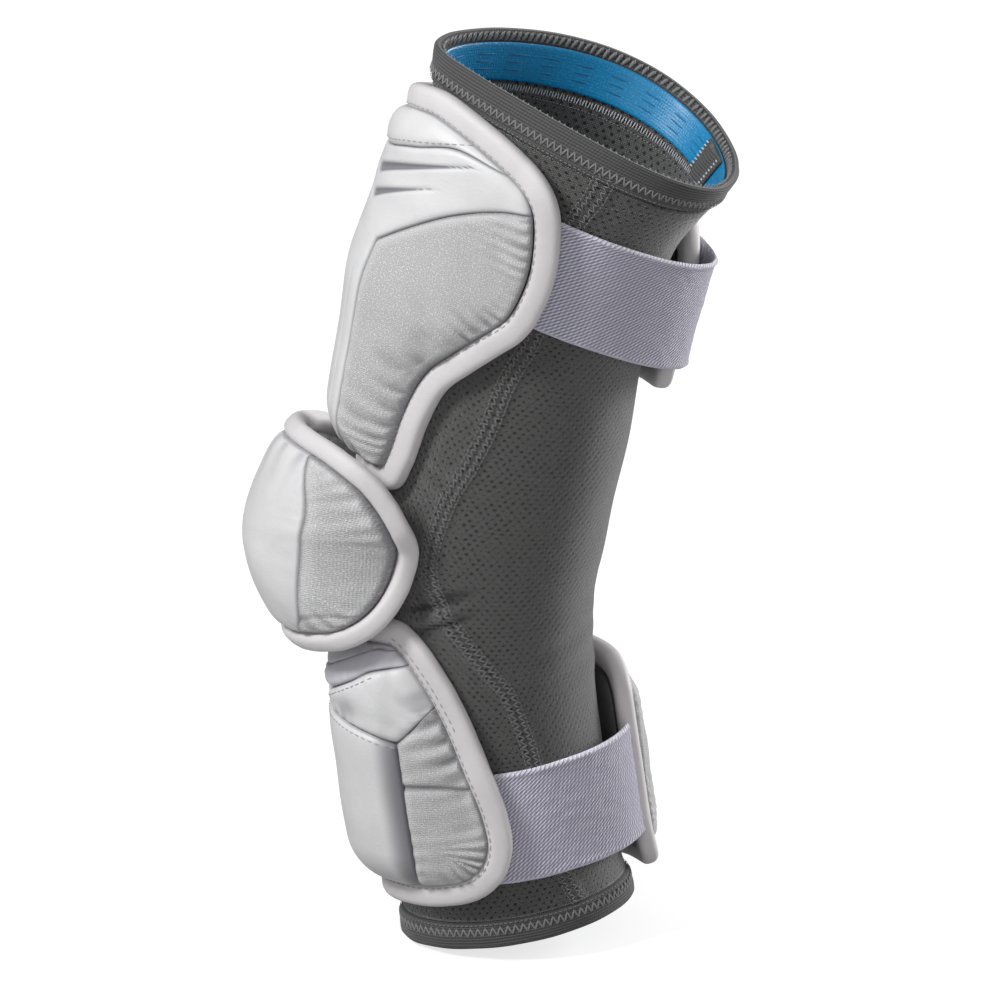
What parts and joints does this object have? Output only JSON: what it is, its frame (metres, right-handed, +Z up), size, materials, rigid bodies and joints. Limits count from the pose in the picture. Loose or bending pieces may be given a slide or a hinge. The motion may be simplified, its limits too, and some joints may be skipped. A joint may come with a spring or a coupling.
{
  "type": "lacrosse arm pad",
  "caption": "Lacrosse arm pad: knitted sleeve with padded upper arm guard, domed elbow cap, padded forearm guard and an elastic strap at each end.",
  "frame": {"origin": "middle of the sleeve's hollow at the elbow, where the elbow of the arm sits", "axes": "+Z up along the sleeve towards the upper arm, -X towards the pads at the back of the arm, +X towards the inside of the elbow, -Y towards the side where the straps leave the near wings"},
  "size_m": [0.1902, 0.1153, 0.3597],
  "materials": {
    "knit": "matt fine knit with small air holes",
    "hem": "matt overlocked knit",
    "grip": "satin blue silicone-faced elastic",
    "lining": "matt brushed knit",
    "leather": "satin smooth synthetic leather",
    "binding": "soft satin rolled synthetic leather",
    "textile": "matt ripstop-like woven cloth over foam",
    "rib": "soft satin synthetic leather over foam",
    "elastic": "matt woven elastic webbing"
  },
  "bodies": {
    "root": {"sleeve": "knit", "bottom_hem": "hem", "top_hem": "hem", "grip_band": "grip", "grip_band_join": "knit", "upper_pad_binding": "binding", "upper_pad_backing": "lining", "upper_pad_shield": "leather", "upper_pad_collar": "leather", "upper_pad_side_near": "textile", "upper_pad_side_far": "textile", "elbow_cap_binding": "binding", "elbow_cap_side_near": "textile", "elbow_cap_shell": "leather", "elbow_cap_side_far": "textile", "forearm_pad_binding": "binding", "forearm_pad_backing": "lining", "forearm_pad_plate": "leather", "forearm_pad_crown": "leather", "forearm_pad_rib_lower": "rib", "forearm_pad_rib_upper": "rib", "forearm_pad_side_near": "textile", "forearm_pad_side_far": "textile", "upper_strap": "elastic", "lower_strap": "elastic"}
  },
  "joints": []
}
